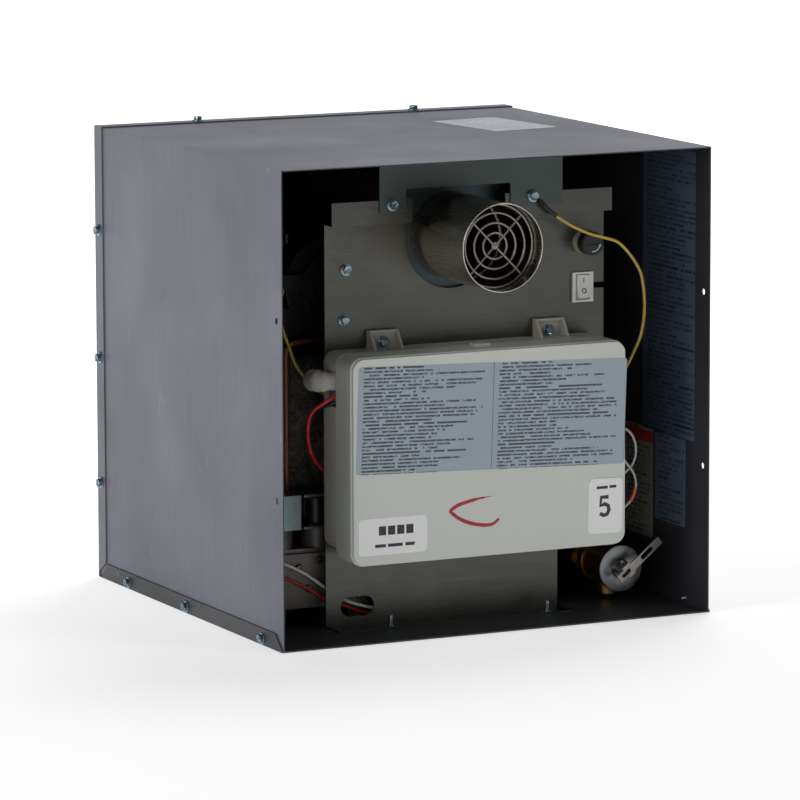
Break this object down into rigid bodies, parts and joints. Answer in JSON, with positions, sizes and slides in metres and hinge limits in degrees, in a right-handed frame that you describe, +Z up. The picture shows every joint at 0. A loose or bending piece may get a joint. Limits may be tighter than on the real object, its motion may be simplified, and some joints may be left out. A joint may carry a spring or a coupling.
{
  "type": "gas on-demand water heater",
  "caption": "Compact on-demand gas water heater: open-front sheet steel case, mounting plate with exhaust tube, control box, switch, fuse, relief valve and burner engine inside.",
  "frame": {"origin": "centre of the bottom face of the case, on the ground", "axes": "+X to the right along the open front, +Y from the front towards the back panel, +Z up"},
  "size_m": [0.3306, 0.346, 0.3263],
  "materials": {
    "case_steel": "matte blue-grey coated steel",
    "pan_steel": "matte blue-grey coated steel",
    "zinc_screw": "blue zinc plate",
    "bracket_steel": "galvanised",
    "plate_steel": "galvanised, brushed",
    "inner_steel": "galvanised",
    "box_plastic": "fine moulded grain",
    "circuit_board": "green solder mask",
    "tube_steel": "stainless, heat tinted",
    "copper": "dull copper",
    "insulation": "fibrous mat",
    "cast_alloy": "die cast",
    "ceramic": "glazed",
    "black_plastic": "moulded",
    "red_plastic": "moulded",
    "white_plastic": "moulded",
    "plunger_steel": "turned",
    "brass": "machined",
    "polished_cap": "polished",
    "lever_steel": "stamped",
    "fuse_plastic": "moulded",
    "ground_insulation": "extruded",
    "braided_sleeve": "knitted",
    "wire_insulation": "extruded",
    "white_insulation": "extruded"
  },
  "bodies": {
    "root": {"case_wrap": "case_steel", "back_panel": "case_steel", "bottom_pan": "pan_steel", "sheet_screws": "zinc_screw", "hanger_bracket": "bracket_steel", "front_plate": "plate_steel", "foot_studs": "zinc_screw", "control_box_base": "box_plastic", "control_box_cover": "box_plastic", "control_board": "circuit_board", "exhaust_tube": "tube_steel", "exhaust_grille": "tube_steel", "flue_flange": "plate_steel", "flue_hood": "inner_steel", "exchanger_shell": "copper", "exchanger_fins": "copper", "exchanger_coil": "copper", "combustion_chamber": "copper", "insulation_blanket": "insulation", "burner_tray": "inner_steel", "burner_bars": "inner_steel", "gas_manifold": "cast_alloy", "electrodes": "ceramic", "gas_valve_body": "cast_alloy", "gas_valve_cover": "cast_alloy", "valve_screws": "zinc_screw", "solenoid_yokes": "plate_steel", "solenoid_coils": "black_plastic", "gas_pipe": "inner_steel", "gas_inlet_fitting": "brass", "pressure_tube": "copper", "blower_housing": "black_plastic", "blower_motor": "black_plastic", "blower_bracket": "plate_steel", "air_duct": "inner_steel", "limit_switch": "black_plastic", "relief_valve_body": "brass", "relief_cap": "polished_cap", "hot_pipe": "copper", "hot_outlet_fitting": "brass", "cold_pipe": "copper", "flow_sensor_body": "black_plastic", "cold_inlet_fitting": "brass", "thermistor": "black_plastic", "fuse_holder": "fuse_plastic", "switch_body": "white_plastic", "ground_wire": "ground_insulation", "harness_sleeve": "braided_sleeve", "lead_wires": "wire_insulation", "sensor_wires": "white_insulation"},
    "rocker": {"rocker": "white_plastic"},
    "relief_stem": {"relief_stem": "plunger_steel", "lever_pin": "plunger_steel"},
    "relief_lever": {"relief_lever": "lever_steel"},
    "blower_wheel": {"blower_wheel": "black_plastic"},
    "fuse_cap": {"fuse_cap": "black_plastic"},
    "reset_button": {"reset_button": "red_plastic"},
    "safety_plunger": {"safety_plunger": "plunger_steel"},
    "main_plunger": {"main_plunger": "plunger_steel"},
    "flow_turbine": {"flow_turbine": "white_plastic"}
  },
  "joints": [
    {"name": "power_rocker", "type": "hinge", "parent": "root", "child": "rocker", "pos_m": [0.094, -0.094, 0.22275], "axis": [1, 0, 0], "range_deg": [0, 14]},
    {"name": "stem_lift", "type": "slide", "parent": "root", "child": "relief_stem", "axis": [0, -1, 0], "range_m": [0, 0.0022]},
    {"name": "test_lever", "type": "hinge", "parent": "relief_stem", "child": "relief_lever", "pos_m": [0.1235, -0.105, 0.024], "axis": [0.6293, 0, -0.7771], "range_deg": [0, 70], "stiffness_Nm_per_rad": 0.05, "springref_deg": -11.46},
    {"name": "blower_spin", "type": "hinge", "parent": "root", "child": "blower_wheel", "pos_m": [-0.075, -0.03, 0.229], "axis": [0, -1, 0], "continuous": true},
    {"name": "fuse_cap_turn", "type": "hinge", "parent": "root", "child": "fuse_cap", "pos_m": [0.095, -0.105, 0.254], "axis": [0, 1, 0], "range_deg": [-90, 0]},
    {"name": "reset_press", "type": "slide", "parent": "root", "child": "reset_button", "axis": [0, 1, 0], "range_m": [0, 0.0015], "stiffness_N_per_m": 300, "springref_m": -0.001},
    {"name": "safety_valve_lift", "type": "slide", "parent": "root", "child": "safety_plunger", "axis": [0, 0, 1], "range_m": [0, 0.003], "stiffness_N_per_m": 150, "springref_m": -0.003},
    {"name": "main_valve_lift", "type": "slide", "parent": "root", "child": "main_plunger", "axis": [0, 0, 1], "range_m": [0, 0.003], "stiffness_N_per_m": 150, "springref_m": -0.003},
    {"name": "turbine_spin", "type": "hinge", "parent": "root", "child": "flow_turbine", "pos_m": [0.04, 0.13, 0.024], "axis": [0, 1, 0], "continuous": true}
  ],
  "couplings": [
    {"joint": "test_lever", "follows": "stem_lift", "rad_per_m": 555.3}
  ]
}
